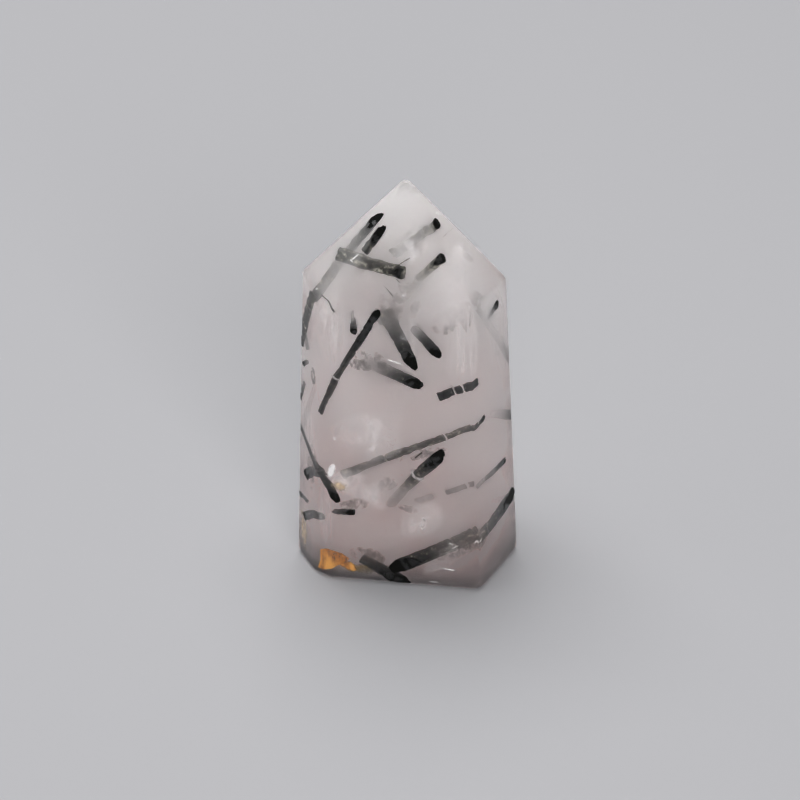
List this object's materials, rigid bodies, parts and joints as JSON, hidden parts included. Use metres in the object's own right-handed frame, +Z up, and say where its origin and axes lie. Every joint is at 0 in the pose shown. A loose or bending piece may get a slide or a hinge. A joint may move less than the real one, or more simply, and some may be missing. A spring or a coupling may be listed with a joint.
{
  "type": "tourmalinated quartz point",
  "caption": "Six-sided polished tower of milky quartz with a pointed crown, a flat base and black tourmaline needles set in it.",
  "frame": {"origin": "middle of the bounding box, level with the flat base", "axes": "+Z up along the point to its tip, -Y out of the broad front facet, +X to the right as seen from the front"},
  "size_m": [0.0326, 0.0212, 0.0646],
  "materials": {
    "milky_quartz": "polished, clear to milky, faint pink-grey, IOR 1.544",
    "black_tourmaline": "near-black, satin, striated along its length, opaque"
  },
  "bodies": {
    "root": {"needle_back_crossing": "black_tourmaline", "needle_back_left_long": "black_tourmaline", "needle_back_left_stub": "black_tourmaline", "needle_back_long_a": "black_tourmaline", "needle_back_long_b": "black_tourmaline", "needle_back_lower": "black_tourmaline", "needle_back_middle": "black_tourmaline", "needle_back_right_foot": "black_tourmaline", "needle_back_right_long_a": "black_tourmaline", "needle_back_right_long_b": "black_tourmaline", "needle_back_right_stub": "black_tourmaline", "needle_back_upper": "black_tourmaline", "needle_belt_a": "black_tourmaline", "needle_belt_b": "black_tourmaline", "needle_belt_c": "black_tourmaline", "needle_belt_d": "black_tourmaline", "needle_bottom_a": "black_tourmaline", "needle_bottom_b": "black_tourmaline", "needle_bottom_c": "black_tourmaline", "needle_bottom_left": "black_tourmaline", "needle_centre": "black_tourmaline", "needle_centre_low": "black_tourmaline", "needle_centre_right": "black_tourmaline", "needle_crossing": "black_tourmaline", "needle_drop": "black_tourmaline", "needle_left_dot": "black_tourmaline", "needle_left_edge": "black_tourmaline", "needle_left_foot": "black_tourmaline", "needle_left_low": "black_tourmaline", "needle_left_stub": "black_tourmaline", "needle_left_thin_a": "black_tourmaline", "needle_left_thin_b": "black_tourmaline", "needle_long_left_a": "black_tourmaline", "needle_long_left_b": "black_tourmaline", "needle_long_upper_a": "black_tourmaline", "needle_long_upper_b": "black_tourmaline", "needle_long_upper_c": "black_tourmaline", "needle_low_left": "black_tourmaline", "needle_lower_a": "black_tourmaline", "needle_lower_b": "black_tourmaline", "needle_middle_right_a": "black_tourmaline", "needle_middle_right_b": "black_tourmaline", "needle_ridge": "black_tourmaline", "needle_right_faint_a": "black_tourmaline", "needle_right_faint_b": "black_tourmaline", "needle_right_stub_a": "black_tourmaline", "needle_right_stub_b": "black_tourmaline", "needle_right_stub_c": "black_tourmaline", "needle_shoulder": "black_tourmaline", "needle_upper_right_a": "black_tourmaline", "needle_upper_right_b": "black_tourmaline", "quartz_point": "milky_quartz"}
  },
  "joints": []
}
